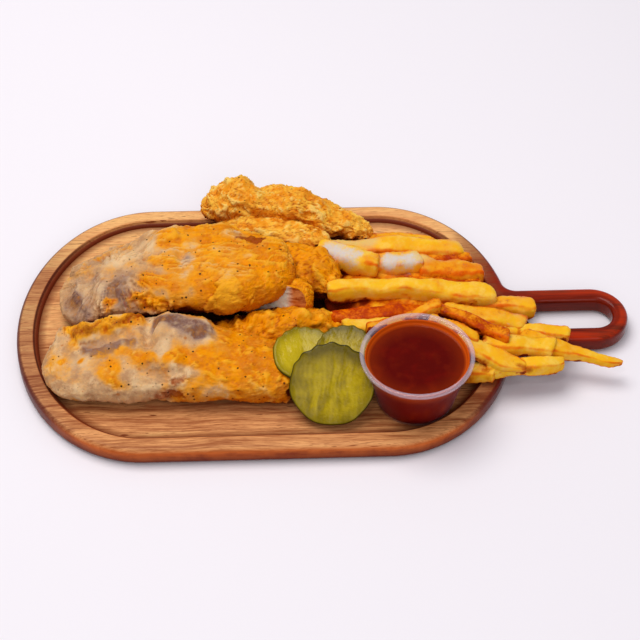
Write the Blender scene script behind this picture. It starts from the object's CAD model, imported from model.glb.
"""Chicken fingers and fries on a handled wooden board: the finished looks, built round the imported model.

Lengths in the tables are in millimetres, in the model's own frame: the origin is under the middle of the
board's oval body, +X runs towards the handle, +Y towards the back and +Z up.
"""

import math

import bmesh
import bpy
import numpy as np
from mathutils import Matrix, Vector, noise
from mathutils.bvhtree import BVHTree
from mathutils.kdtree import KDTree


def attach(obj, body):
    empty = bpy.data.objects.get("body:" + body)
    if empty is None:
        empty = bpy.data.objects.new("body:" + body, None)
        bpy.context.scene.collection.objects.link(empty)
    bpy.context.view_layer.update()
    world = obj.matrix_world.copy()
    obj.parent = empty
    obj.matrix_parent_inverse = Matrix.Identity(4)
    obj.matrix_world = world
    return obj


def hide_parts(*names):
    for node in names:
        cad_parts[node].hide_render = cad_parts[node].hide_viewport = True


bl_info = {
    "name": "Chicken fingers and fries on a board",
    "version": (1, 0, 0),
    "blender": (4, 5, 0),
    "location": "3D View > Sidebar > Platter",
    "description": "Builds a wooden board with chicken fingers, fries, pickle slices and a cup of dip",
    "category": "Add Mesh",
}

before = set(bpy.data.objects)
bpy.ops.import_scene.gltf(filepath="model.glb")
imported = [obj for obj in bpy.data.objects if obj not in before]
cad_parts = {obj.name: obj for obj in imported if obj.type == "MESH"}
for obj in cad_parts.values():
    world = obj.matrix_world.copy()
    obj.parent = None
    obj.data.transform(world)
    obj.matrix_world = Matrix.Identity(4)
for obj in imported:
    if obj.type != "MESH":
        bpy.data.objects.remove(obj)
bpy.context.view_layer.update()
MM = 0.001
# The part of a screen colour that a surface needs, to show that colour under the studio light.
SCREEN_TO_SURFACE = 0.9


# ---------------------------------------------------------------- what a user would change


def pigment(red, green, blue):
    """The surface colour that looks like this screen colour under the studio light."""
    seen = [value / 255 for value in (red, green, blue)]
    linear = [v / 12.92 if v <= 0.04045 else ((v + 0.055) / 1.055) ** 2.4 for v in seen]
    return tuple(SCREEN_TO_SURFACE * v for v in linear)


def colour(name, description, *seen):
    return bpy.props.FloatVectorProperty(
        name=name, description=description, default=pigment(*seen), subtype="COLOR", size=3, min=0.0, max=1.0
    )


def length(name, description, millimetres):
    return bpy.props.FloatProperty(
        name=name, description=description, default=millimetres * MM, min=0.0, unit="LENGTH", precision=5
    )


def amount(name, description, default):
    return bpy.props.FloatProperty(
        name=name, description=description, default=default, min=0.0, max=1.0, subtype="FACTOR"
    )


class BoardLook(bpy.types.PropertyGroup):
    """Sizes and colours of the wooden board."""

    edge_round: length("Edge rounding", "Radius of the board's outer edges", 3.0)
    lip_round: length("Lip rounding", "Radius of the sharp edge round the sunk floor", 0.9)
    stave: length("Stave width", "Width of the strips that the board is glued from", 24.0)
    light_wood: colour("Light wood", "The pale bands of the grain", 252, 194, 124)
    mid_wood: colour("Middle wood", "The middle tone of the grain", 232, 162, 102)
    dark_wood: colour("Dark wood", "The dark lines of the grain", 158, 86, 46)
    red_stain: colour("Red stain", "The stained outer walls", 216, 98, 22)
    dark_stain: colour("Dark stain", "The darkest stain of the outer walls", 120, 36, 16)
    mahogany: colour("Mahogany", "The stained handle", 178, 40, 0)
    dark_mahogany: colour("Dark mahogany", "The darkest parts of the handle", 96, 18, 6)
    outline: colour("Outline", "The dark foot and ends of the outer walls", 84, 30, 34)
    seam: colour("Seam", "Dark seams and corners", 112, 40, 14)
    oil: colour("Oil", "Where dark oil has run under the chicken", 57, 0, 3)
    lacquer: amount("Lacquer", "How much clear lacquer covers the wood", 0.6)


class CupLook(bpy.types.PropertyGroup):
    """Sizes and colours of the clear cup."""

    lip_width: length("Lip width", "How far the rolled lip stands out", 1.6)
    wall: length("Wall", "Thickness of the plastic", 0.8)
    plastic: colour("Plastic", "Faint milky tone of the plastic", 238, 222, 236)
    haze: amount("Haze", "How milky the plastic is where it is seen face on", 0.0)


class DipLook(bpy.types.PropertyGroup):
    """Sizes and colours of the dip."""

    below_rim: length("Below the rim", "How far the dip stops under the cup's rim", 5.2)
    deep: colour("Deep dip", "The dip where it is thick", 84, 8, 5)
    film: colour("Thin dip", "The dip where it is a thin film on the wall", 214, 84, 10)
    amber: colour("Thinner dip", "The dip where the wall lets more light through", 168, 52, 6)
    side: colour("Dip through the wall", "The dip seen through the cup's wall", 112, 12, 5)


class PickleLook(bpy.types.PropertyGroup):
    """Sizes and colours of the pickle slices."""

    ridge_pitch: length("Ridge pitch", "Distance between the ridges of the crinkle cut", 2.5)
    ridge_height: length("Ridge height", "Height of the ridges", 0.06)
    flesh: colour("Flesh", "The wet inside of the slices", 184, 158, 8)
    pale_flesh: colour("Pale flesh", "The brightest inside", 212, 186, 26)
    green: colour("Green", "The darker green under the rind", 108, 92, 2)
    rind: colour("Rind", "The dark outer skin", 44, 42, 4)


class ChickenLook(bpy.types.PropertyGroup):
    """Colours of the fried crust."""

    batter: colour("Floury batter", "Pale batter that stayed floury", 218, 174, 126)
    dark_batter: colour("Dark batter", "The folds of the pale batter", 190, 142, 98)
    grey: colour("Grey batter", "Thin batter where the meat shows through", 180, 148, 128)
    mauve: colour("Mauve batter", "The thinnest and darkest of the grey batter", 94, 48, 50)
    cream: colour("Cream batter", "The palest batter", 242, 206, 156)
    warm: colour("Warm batter", "Batter that begins to colour", 238, 160, 44)
    gold: colour("Gold", "Well fried crust", 246, 152, 0)
    deep_gold: colour("Deep gold", "The deeper parts of the fried crust", 214, 110, 0)
    dark_gold: colour("Dark gold", "The valleys of the fried crust", 196, 86, 0)
    amber: colour("Amber", "Between the flakes of the craggy crust", 246, 146, 10)
    flake: colour("Flake", "The light flakes of the craggy crust", 255, 192, 66)
    light_flake: colour("Light flake", "The palest flakes of the craggy crust", 255, 218, 118)
    bright_gold: colour("Bright gold", "The crests of the smooth crust", 255, 186, 44)
    toast: colour("Toast", "Dark, well done crumbs", 150, 58, 6)
    spot: colour("Brown spots", "Spots where the batter is thin", 190, 104, 20)
    crease: colour("Crease", "The bottom of the creases", 164, 58, 0)
    shade: colour("Shade", "Oily crust deep in the gaps", 70, 2, 4)
    pepper: colour("Pepper", "Specks of pepper", 40, 18, 8)
    meat: colour("Meat", "The cut face", 214, 126, 64)
    white_meat: colour("White meat", "The palest part of the cut face", 214, 204, 184)


class FriesLook(bpy.types.PropertyGroup):
    """Colours of the fries."""

    yellow: colour("Yellow", "The soft faces of a fry", 254, 194, 34)
    light: colour("Light yellow", "The palest of the faces", 255, 208, 84)
    gold: colour("Gold", "The better fried faces", 248, 158, 12)
    orange: colour("Orange", "Crisp edges", 232, 104, 0)
    red: colour("Red", "The most fried of the fries", 180, 52, 0)
    crisp: colour("Crisp", "The darkest of the crisp edges", 186, 56, 0)
    shade: colour("Shade", "Oily red deep in the heap", 112, 16, 0)
    brown: colour("Brown", "Burnt tips", 176, 66, 0)
    pale: colour("Pale", "Bare potato at the ends", 232, 200, 128)
    white: colour("White", "Floury grey-white patches", 220, 210, 206)


class StageLook(bpy.types.PropertyGroup):
    """The floor and the light."""

    floor: colour("Floor", "The plain pale floor", 252, 248, 254)
    key_power: bpy.props.FloatProperty(
        name="Key light", description="Power of the large soft light", default=16.0, min=0.0, unit="POWER"
    )
    sky: bpy.props.FloatProperty(
        name="Sky", description="Strength of the even light all round", default=0.40, min=0.0
    )


# ---------------------------------------------------------------- materials


class Signal:
    """A socket that takes part in sums: each operator adds its Math node."""

    def __init__(self, finish, socket):
        self.finish = finish
        self.socket = socket

    def math(self, operation, *values):
        sockets = dict(enumerate((self, *values)))
        return self.finish.add("ShaderNodeMath", {"operation": operation}, sockets)

    def flipped(self, operation, value):
        return self.finish.add("ShaderNodeMath", {"operation": operation}, {0: value, 1: self})

    def __add__(self, other):
        return self.math("ADD", other)

    def __radd__(self, other):
        return self.flipped("ADD", other)

    def __sub__(self, other):
        return self.math("SUBTRACT", other)

    def __rsub__(self, other):
        return self.flipped("SUBTRACT", other)

    def __mul__(self, other):
        return self.math("MULTIPLY", other)

    def __rmul__(self, other):
        return self.flipped("MULTIPLY", other)

    def __truediv__(self, other):
        return self.math("DIVIDE", other)

    def __pow__(self, other):
        return self.math("POWER", other)

    def step(self, low, high):
        """0 below low and 1 above high, smoothly between; low above high turns it round."""
        settings = {"interpolation_type": "SMOOTHSTEP"}
        if low < high:
            return self.finish.add("ShaderNodeMapRange", settings, {0: self, 1: low, 2: high})
        return 1 - self.finish.add("ShaderNodeMapRange", settings, {0: self, 1: high, 2: low})


class Finish:
    """A material being wired."""

    def __init__(self, name):
        self.material = bpy.data.materials.new(name)
        self.material.use_nodes = True
        self.nodes = self.material.node_tree.nodes
        self.links = self.material.node_tree.links
        self.nodes.clear()
        self.place = self.add("ShaderNodeTexCoord", {}, {}, "Object")

    def add(self, kind, settings, sockets, output=0):
        """A node with its settings, then the values or links of its sockets, as the output asked for."""
        node = self.nodes.new(kind)
        for key, value in settings.items():
            setattr(node, key, value)
        for key, value in sockets.items():
            if isinstance(value, Signal):
                self.links.new(value.socket, node.inputs[key])
            elif node.inputs[key].type == "RGBA":
                node.inputs[key].default_value = (*value[:3], 1.0)
            else:
                node.inputs[key].default_value = value
        return Signal(self, node.outputs[output]) if node.outputs else None

    def mask(self, name):
        return self.add("ShaderNodeAttribute", {"attribute_name": name}, {}, "Fac")

    def times(self, vector, factors):
        return self.add("ShaderNodeVectorMath", {"operation": "MULTIPLY"}, {0: vector, 1: factors})

    def stretched(self, x, y, z):
        """Object coordinates in millimetres, divided by a size along each axis."""
        return self.times(self.place, (1000 / x, 1000 / y, 1000 / z))

    def noise(self, size, detail=2.0, rough=0.5):
        """Soft noise from 0 to 1: size is how long its waves are in millimetres, or the place to read."""
        at = size if isinstance(size, Signal) else self.stretched(size, size, size)
        sockets = {"Vector": at, "Scale": 1.0, "Detail": detail, "Roughness": rough}
        return self.add("ShaderNodeTexNoise", {}, sockets)

    def mix(self, share, first, second):
        """From the first colour to the second."""
        settings = {"data_type": "RGBA", "clamp_factor": True}
        return self.add("ShaderNodeMix", settings, {0: share, 6: first, 7: second}, 2)

    def coated(self, tint, *coats):
        """Lays coats of (share, colour) over a colour, one after another."""
        for share, tone in coats:
            tint = self.mix(share, tint, tone)
        return tint

    def specks(self, size, radius, often):
        """Round specks: 1 inside one, placed in some of the cells of a jittered grid."""
        cells = {"Vector": self.stretched(size, size, size), "Scale": 1.0}
        near = self.add("ShaderNodeTexVoronoi", {}, cells, "Distance")
        kind = self.add("ShaderNodeTexVoronoi", {}, cells, "Color")
        chosen = self.add("ShaderNodeSeparateColor", {}, {0: kind}, 0).step(1 - often, 1 - often + 0.02)
        spread = self.add("ShaderNodeSeparateColor", {}, {0: kind}, 1) * 0.5 + 0.5
        return (near / spread).step(radius / size, 0.6 * radius / size) * chosen

    def bump(self, height, distance, strength):
        """A normal from a height in 0 to 1 that stands for distance millimetres."""
        sockets = {"Height": height, "Distance": distance * MM, "Strength": strength}
        return self.add("ShaderNodeBump", {}, sockets)

    def surface(self, sockets):
        """Ends the material in one Principled shader and returns the material."""
        shader = self.add("ShaderNodeBsdfPrincipled", {}, sockets)
        self.add("ShaderNodeOutputMaterial", {}, {"Surface": shader})
        return self.material


# ---------------------------------------------------------------- shared shape helpers


def soft_step(low, high, values):
    """0 below low and 1 above high, smoothly between; low above high turns it round."""
    share = np.clip((values - low) / (high - low), 0, 1)
    return share * share * (3 - 2 * share)


def perlin(points):
    return np.array([noise.noise(point) for point in points.tolist()])


def waves(points, size, seed=0.0):
    """Noise about 0 whose waves are size millimetres long."""
    return perlin(points / size + np.array((seed * 3.1, seed * 7.3 + 40.0, seed * 1.7)))


def warped(points, size, reach, seed):
    moves = [waves(points, size, seed + turn) for turn in (0.13, 0.47, 0.81)]
    return points + reach * np.stack(moves, axis=1)


def away_from(points, start, end, radius):
    """How far points lie from the line from start to end, counted in radii."""
    start, run = np.array(start, float), np.subtract(end, start).astype(float)
    share = np.clip((points - start) @ run / max(run @ run, 1e-9), 0, 1)
    return np.linalg.norm(points - start - share[:, None] * run, axis=1) / radius


def strokes(points, table):
    """The sum of soft strokes, each from start to end with a radius and an amount."""
    total = np.zeros(len(points))
    for start, end, radius, rise in table:
        away = away_from(points, start, end, radius)
        total += rise * np.clip(1 - away * away, 0, None) ** 2
    return total


def new_mesh(name, bm):
    mesh = bpy.data.meshes.new(name)
    bm.to_mesh(mesh)
    bm.free()
    mesh.polygons.foreach_set("use_smooth", [True] * len(mesh.polygons))
    return mesh


def ball(name, rings, sides):
    """A sphere's mesh, with its points as rows: the start of every lofted piece."""
    bm = bmesh.new()
    bmesh.ops.create_uvsphere(bm, u_segments=sides, v_segments=rings, radius=1.0)
    mesh = new_mesh(name, bm)
    return mesh, points_of(mesh)


def points_of(mesh):
    flat = np.empty(len(mesh.vertices) * 3)
    mesh.vertices.foreach_get("co", flat)
    return flat.reshape(-1, 3)


def move_points(mesh, points):
    mesh.vertices.foreach_set("co", points.astype(np.float32).ravel())
    mesh.update()


def normals_of(mesh):
    flat = np.empty(len(mesh.vertices) * 3)
    mesh.vertex_normals.foreach_get("vector", flat)
    return flat.reshape(-1, 3)


def paint(mesh, name, values):
    """Keeps a number from 0 to 1 for each point, which the material reads by name."""
    layer = mesh.attributes.new(name, "FLOAT", "POINT")
    layer.data.foreach_set("value", np.clip(values, 0, 1).astype(np.float32))


# Directions that light comes from: height above level in degrees, and how many round.
SKY = ((82, 3), (58, 6), (34, 8), (14, 8))
SKY_REACH = 0.07
SKY_START = 0.0025
# Rays are cast from this many points of a mesh; the others take the mean of their nearest.
SKY_POINTS = 3500
SKY_NEIGHBOURS = 3
SKY_SEED = 7
# What a direction level with the surface still counts, and the least that all of them add up to.
GLANCING = 0.15
LEAST_SKY = 2.5


def solids_tree():
    """All the solids of the model, for casting rays."""
    bm = bmesh.new()
    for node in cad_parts.values():
        bm.from_mesh(node.data)
    tree = BVHTree.FromBMesh(bm)
    bm.free()
    return tree


def sky_directions():
    found = []
    for height, count in SKY:
        level, up = math.cos(math.radians(height)), math.sin(math.radians(height))
        turns = [2 * math.pi * i / count + height for i in range(count)]
        found += [Vector((level * math.cos(t), level * math.sin(t), up)) for t in turns]
    return found


def blocked(start, direction, tree):
    """Whether a solid stands in the way; one that the ray starts inside doesn't count."""
    _, normal, _, _ = tree.ray_cast(start, direction, SKY_REACH)
    return normal is not None and normal.dot(direction) < 0


def open_sky(point, normal, tree, directions):
    """The share of the light over a point that nothing near it blocks."""
    start = point + normal * SKY_START
    weights = [max(direction.dot(normal) + GLANCING, 0.0) for direction in directions]
    seen = sum(w for w, direction in zip(weights, directions) if w and not blocked(start, direction, tree))
    return seen / max(sum(weights), LEAST_SKY)


def paint_depth(mesh, tree):
    """Paints how deep each point lies between the pieces: rays from some points, spread to the rest."""
    directions = sky_directions()
    points, normals = points_of(mesh), normals_of(mesh)
    chosen = np.random.default_rng(SKY_SEED).permutation(len(points))[:SKY_POINTS]
    near, light = KDTree(len(chosen)), []
    for place_in_list, index in enumerate(chosen.tolist()):
        near.insert(points[index], place_in_list)
        light.append(open_sky(Vector(points[index]), Vector(normals[index]), tree, directions))
    near.balance()
    depth = []
    for point in points.tolist():
        found = near.find_n(point, SKY_NEIGHBOURS)
        weights = [1.0 / (distance + 1e-4) for _, _, distance in found]
        depth.append(1.0 - sum(w * light[i] for w, (_, i, _) in zip(weights, found)) / sum(weights))
    paint(mesh, "deep", np.array(depth))


def place(name, mesh, material, slot, *nodes):
    """Shows a finished mesh as a piece of the model."""
    obj = bpy.data.objects.new(name, mesh)
    bpy.context.scene.collection.objects.link(obj)
    mesh.materials.append(material)
    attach(obj, "root")
    if nodes:
        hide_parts(*nodes)
    return obj


def joined(name, meshes):
    """One mesh of several, with their painted numbers."""
    bm = bmesh.new()
    for mesh in meshes:
        bm.from_mesh(mesh)
        bpy.data.meshes.remove(mesh)
    return new_mesh(name, bm)


def arc(centre, radius_x, radius_y, start, end, steps):
    """Points round part of an ellipse, both ends included."""
    turns = [start + (end - start) * i / steps for i in range(steps + 1)]
    return [(centre[0] + radius_x * math.cos(t), centre[1] + radius_y * math.sin(t)) for t in turns]


# ---------------------------------------------------------------- the board

THICKNESS = 11.0
BODY_HALF_LENGTH = 137.4
BODY_HALF_WIDTH = 92.7
BODY_END_DEPTH = 73.0
HANDLE_TIP_X = 202.0
HANDLE_HALF_WIDTH = 20.0
NECK_FILLET = 8.0
SLOT_START_X = 145.0
SLOT_END_X = 193.5
SLOT_HALF_WIDTH = 10.2
RIM_WIDTH = 9.5
RECESS_FILLET = 2.4
FLOOR = 7.0
SIT = FLOOR + 0.35
ROUND_STEPS = 6
FLAT_BORDER = 0.5
FLOOR_BORDER = 4.5
# Where the dark outline starts and is full: its height at the foot, and height and X on the rim.
OUTLINE_FOOT = (4.5, 2.0)
OUTLINE_RIM_Z = (10.0, 10.8)
OUTLINE_RIM_X = (-95.0, -128.0)
# Where along X the handle's stain starts and is full, and the darker neck starts and ends.
GRIP_X = (120.0, 142.0)
NECK_START_X = (108.0, 124.0)
NECK_END_X = (158.0, 140.0)
# The oval of oil that has run under the chicken: its centre and its reach along X and Y.
OIL_AT = (-15.0, 6.0)
OIL_REACH = (75.0, 25.0)


def neck_angle():
    """Where on the body's end ellipse the neck fillet starts, found by halving."""
    low, high = 0.0, math.pi / 2
    for _ in range(40):
        turn = (low + high) / 2
        lift = (math.sin(turn) / BODY_HALF_WIDTH) / math.hypot(
            math.cos(turn) / BODY_END_DEPTH, math.sin(turn) / BODY_HALF_WIDTH
        )
        if BODY_HALF_WIDTH * math.sin(turn) + NECK_FILLET * lift < HANDLE_HALF_WIDTH + NECK_FILLET:
            low = turn
        else:
            high = turn
    return low


def board_outline():
    """The whole board seen from above: body, neck fillets and handle, anticlockwise."""
    end_x = BODY_HALF_LENGTH - BODY_END_DEPTH
    start = neck_angle()
    on_body = Vector((end_x + BODY_END_DEPTH * math.cos(start), BODY_HALF_WIDTH * math.sin(start)))
    normal = Vector((math.cos(start) / BODY_END_DEPTH, math.sin(start) / BODY_HALF_WIDTH)).normalized()
    fillet = on_body + normal * NECK_FILLET
    first = math.atan2(-normal.y, -normal.x) + 2 * math.pi
    upper = arc(fillet, NECK_FILLET, NECK_FILLET, 1.5 * math.pi, first, 10)
    tip = (HANDLE_TIP_X - HANDLE_HALF_WIDTH, 0.0)
    grip = arc(tip, HANDLE_HALF_WIDTH, HANDLE_HALF_WIDTH, -math.pi / 2, math.pi / 2, 40)
    ends = (BODY_END_DEPTH, BODY_HALF_WIDTH)
    right_top = arc((end_x, 0.0), *ends, start, math.pi / 2, 40)[1:]
    left = arc((-end_x, 0.0), *ends, math.pi / 2, 1.5 * math.pi, 100)
    right_low = arc((end_x, 0.0), *ends, 1.5 * math.pi, 2 * math.pi - start, 40)[:-1]
    lower = [(x, -y) for x, y in reversed(upper)]
    return grip + upper + right_top + left + right_low + lower


def oval(inset):
    """The body's oval, drawn in by inset on every side."""
    end_x = BODY_HALF_LENGTH - BODY_END_DEPTH
    depth, width = BODY_END_DEPTH - inset, BODY_HALF_WIDTH - inset
    right = arc((end_x, 0.0), depth, width, -math.pi / 2, math.pi / 2, 90)
    left = arc((-end_x, 0.0), depth, width, math.pi / 2, 1.5 * math.pi, 90)
    return right + left


def slot_outline():
    radius = SLOT_HALF_WIDTH
    right = arc((SLOT_END_X - radius, 0.0), radius, radius, -math.pi / 2, math.pi / 2, 24)
    left = arc((SLOT_START_X + radius, 0.0), radius, radius, math.pi / 2, 1.5 * math.pi, 24)
    return right + left


def drawn_in(outline, inset):
    """An anticlockwise outline moved inwards along its own normals."""
    points = np.array(outline)
    run = np.roll(points, -1, 0) - np.roll(points, 1, 0)
    run /= np.linalg.norm(run, axis=1)[:, None]
    return points + inset * np.stack([-run[:, 1], run[:, 0]], axis=1)


def quarter(radius, upward):
    """(inset, drop) pairs round a quarter circle, from the flat face to the wall, or back."""
    turns = [math.pi / 2 * i / ROUND_STEPS for i in range(ROUND_STEPS + 1)]
    pairs = [(radius * (1 - math.sin(t)), radius * (1 - math.cos(t))) for t in turns]
    return pairs[::-1] if upward else pairs


def skin(bm, layers, rings):
    """Joins rings of (outline, height, stain, corner) by extruding each one's edges to the next."""
    verts, edges, first = [], [], []
    for outline, height, *painted in rings:
        if not verts:
            verts = [bm.verts.new((x * MM, y * MM, height * MM)) for x, y in outline]
            edges = [bm.edges.new(pair) for pair in zip(verts, verts[1:] + verts[:1])]
            first = edges
        else:
            index = {tuple(v.co): i for i, v in enumerate(verts)}
            made = bmesh.ops.extrude_edge_only(bm, edges=edges)["geom"]
            verts = sorted(
                (v for v in made if isinstance(v, bmesh.types.BMVert)), key=lambda v: index[tuple(v.co)]
            )
            for vert, (x, y) in zip(verts, outline):
                vert.co = (x * MM, y * MM, height * MM)
            edges = [bm.edges.get(pair) for pair in zip(verts, verts[1:] + verts[:1])]
        for vert in verts:
            for layer, value in zip(layers, painted):
                vert[layer] = value
    return first, edges


def wall_rings(outline, side, radius, stain_top):
    """Rings down one wall of the board, rounded at both edges. Side is 1 on the outside, -1 in the slot."""
    flat = radius + FLAT_BORDER
    rings = [(drawn_in(outline, side * flat), THICKNESS, stain_top, 0.0)]
    for inset, drop in quarter(radius, upward=False):
        stain = stain_top + (0.75 - stain_top) * drop / radius
        rings.append((drawn_in(outline, side * inset), THICKNESS - drop, stain, 0.0))
    for inset, drop in quarter(radius, upward=True):
        rings.append((drawn_in(outline, side * inset), drop, 1.0, 0.3 + 0.6 * (1 - drop / radius)))
    rings.append((drawn_in(outline, side * flat), 0.0, 1.0, 0.9))
    return rings


def recess_rings(lip):
    """Rings from the rim's flat top over its inner edge and down into the sunk floor."""
    rings = [(oval(RIM_WIDTH - lip - FLAT_BORDER), THICKNESS, 0.0, 0.0)]
    for inset, drop in quarter(lip, upward=False):
        rings.append((oval(RIM_WIDTH - inset), THICKNESS - drop, 0.25, 0.35 * drop / lip))
    low = RIM_WIDTH + RECESS_FILLET
    for inset, drop in quarter(RECESS_FILLET, upward=True):
        rings.append((oval(low - inset), FLOOR + RECESS_FILLET - drop, 0.3, 0.9))
    rings.append((oval(low + FLAT_BORDER), FLOOR, 0.1, 0.6))
    for border in (FLOOR_BORDER, FLOOR_BORDER + FLAT_BORDER):
        rings.append((oval(low + border), FLOOR, 0.0, 0.0))
    return rings


def board_mesh(look):
    bm = bmesh.new()
    layers = [bm.verts.layers.float.new(name) for name in ("stain", "corner")]
    radius, lip = look.edge_round / MM, look.lip_round / MM
    outer_top, outer_low = skin(bm, layers, wall_rings(board_outline(), 1, radius, 0.0))
    slot_top, slot_low = skin(bm, layers, wall_rings(slot_outline(), -1, radius, 0.5))
    lip_top, floor = skin(bm, layers, recess_rings(lip))
    for edges in (outer_top + slot_top + lip_top, outer_low + slot_low, floor):
        bmesh.ops.triangle_fill(bm, edges=edges, use_beauty=True, use_dissolve=False)
    bmesh.ops.recalc_face_normals(bm, faces=bm.faces)
    mesh = new_mesh("board", bm)
    paint_outline(mesh)
    return mesh


def paint_outline(mesh):
    """Paints the foot of the outer walls, and the walls at the ends, where the stain is darkest."""
    points, normals = points_of(mesh) / MM, normals_of(mesh)
    level = np.hypot(normals[:, 0], normals[:, 1])
    outer = soft_step(0.2, 0.6, level)
    inside = (np.abs(points[:, 1]) < SLOT_HALF_WIDTH + 1.0) & (points[:, 0] > SLOT_START_X - 1.0)
    inside |= np.hypot(points[:, 0] / (BODY_HALF_LENGTH - 6.0), points[:, 1] / (BODY_HALF_WIDTH - 6.0)) < 0.9
    foot = soft_step(*OUTLINE_FOOT, points[:, 2])
    ends = soft_step(0.5, 0.9, np.abs(normals[:, 0]) / np.maximum(level, 1e-6))
    back = soft_step(0.3, 0.8, normals[:, 1] / np.maximum(level, 1e-6))
    rim = 0.4 * soft_step(*OUTLINE_RIM_Z, points[:, 2]) * soft_step(*OUTLINE_RIM_X, points[:, 0])
    paint(mesh, "outline", np.maximum(outer * np.maximum(np.maximum(foot, ends), back), rim) * ~inside)


def wood(look):
    """Lacquered striped wood with glued staves, orange-stained walls and a mahogany handle."""
    made = Finish("board_wood")
    x, y, z = (made.add("ShaderNodeSeparateXYZ", {}, {0: made.place}, i) * 1000 for i in range(3))
    bend = made.noise(70, 1.0) * 9
    across = (y + bend * 0.25 + 3.0) / (look.stave / MM)
    stave = {"W": across.math("FLOOR")}
    tone = made.add("ShaderNodeTexWhiteNoise", {"noise_dimensions": "1D"}, stave, "Value")
    slide = made.add("ShaderNodeCombineXYZ", {}, {0: x + tone * 300, 1: y + bend, 2: z + tone * 90})

    def grain(detail, rough, *waves_along):
        """Noise that runs with the grain, with the length of its waves along each axis."""
        return made.noise(made.times(slide, [1 / wave for wave in waves_along]), detail, rough)

    broad, fine = grain(3.0, 0.6, 75, 6, 7), grain(4.0, 0.7, 20, 1.2, 2.0)
    pores, dashes = grain(2.0, 0.6, 6, 0.5, 0.8), grain(1.0, 0.5, 9, 1.0, 1.5).step(0.66, 0.74)
    share = broad * 0.45 + fine * 0.5 + (tone - 0.5) * 0.16 + 0.04 + y * 0.0004
    seam = (across.math("FRACT") - 0.5).math("ABSOLUTE").step(0.487, 0.497)
    stain, corner = made.mask("stain"), made.mask("corner")
    edge = stain.step(0.05, 0.7)
    mottle = made.noise(12, 4.0, 0.65)
    streak = made.noise(made.stretched(14, 14, 2.0), 3.0, 0.6)
    burnt = stain.step(0.3, 1.0) * (mottle * 0.8 + streak * 0.6 - 0.2).step(0.35, 0.75)
    grip = (x + mottle * 14).step(*GRIP_X)
    handle = made.mix((fine * 0.6 + broad * 0.6).step(0.5, 0.8), look.mahogany, look.dark_mahogany)
    ragged_x = x + mottle * 8
    neck = ragged_x.step(*NECK_START_X) * ragged_x.step(*NECK_END_X)
    oily = ((x - OIL_AT[0]) / OIL_REACH[0]) ** 2.0 + ((y - OIL_AT[1]) / OIL_REACH[1]) ** 2.0
    tint = made.coated(
        look.dark_wood,
        (share.step(0.3, 0.52), look.mid_wood),
        (share.step(0.48, 0.66), look.light_wood),
        (pores.step(0.53, 0.66) * (0.1 + 0.8 * broad), look.dark_wood),
        (dashes * broad.step(0.5, 0.62), look.seam),
        (seam * 0.6, look.seam),
        (edge * (0.6 + 0.4 * fine), look.red_stain),
        (burnt * 0.8, look.dark_stain),
        (made.mask("outline") * 0.9, look.outline),
        (grip * 0.97, handle),
        (neck * 0.55 + grip * edge * 0.75, look.dark_mahogany),
        (corner * (0.8 + 0.4 * fine), look.seam),
        (oily.step(1.0, 0.6) * 0.97, look.oil),
    )
    height = fine * 0.6 + pores.step(0.68, 0.55) * 0.4
    return made.surface(
        {
            "Base Color": tint,
            "Roughness": 0.36 - grip * 0.22 - stain * 0.1 + fine * 0.12,
            "Normal": made.bump(height, 0.10, 0.5),
            "Specular IOR Level": 0.08,
            "Coat Weight": grip * look.lacquer,
            "Coat Roughness": 0.07,
            "Coat IOR": 1.2,
        }
    )


class PLATTER_OT_board(bpy.types.Operator):
    """Builds the oval wooden board with its sunk floor and slotted handle"""

    bl_idname = "platter.board"
    bl_label = "Wooden board"

    def execute(self, context):
        look = context.scene.platter_board
        mesh = board_mesh(look)
        place("wooden_board", mesh, wood(look), "wood", "board")
        return {"FINISHED"}


# ---------------------------------------------------------------- the cup and the dip

CUP_AT = (79.3, -56.5, SIT)
CUP_HEIGHT = 34.0
CUP_BASE_RADIUS = 21.0
CUP_MOUTH_RADIUS = 28.6
CUP_FOOT = 1.6
CUP_STEPS = 128
# How far under the rim the lip's milky look starts and is full.
LIP_LOOK = (2.9, 2.2)
DIP_GAP = 0.25
# How the dip climbs the wall: distance from the wall and rise above its level.
MENISCUS = ((2.4, 0.05), (1.4, 0.25), (0.75, 0.7), (0.4, 1.3), (0.2, 2.0), (0.05, 2.6))
FLECK_TONE = (0.02, 0.004, 0.002)


def wall_radius(height):
    """The outer radius of the cup's wall at a height above its foot."""
    return CUP_BASE_RADIUS + (CUP_MOUTH_RADIUS - CUP_BASE_RADIUS) * height / CUP_HEIGHT


def turned(name, profile):
    """Turns a profile of (radius, height), from axis to axis, about the cup's own axis."""
    bm = bmesh.new()
    corners = [bm.verts.new((r * MM, 0.0, z * MM)) for r, z in profile]
    edges = [bm.edges.new(pair) for pair in zip(corners, corners[1:])]
    bmesh.ops.spin(
        bm,
        geom=corners + edges,
        cent=(0, 0, 0),
        axis=(0, 0, 1),
        angle=2 * math.pi,
        steps=CUP_STEPS,
        use_merge=True,
        use_duplicate=False,
    )
    bmesh.ops.remove_doubles(bm, verts=bm.verts, dist=1e-6)
    bmesh.ops.translate(bm, vec=Vector(CUP_AT) * MM, verts=bm.verts)
    bmesh.ops.recalc_face_normals(bm, faces=bm.faces)
    return new_mesh(name, bm)


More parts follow.
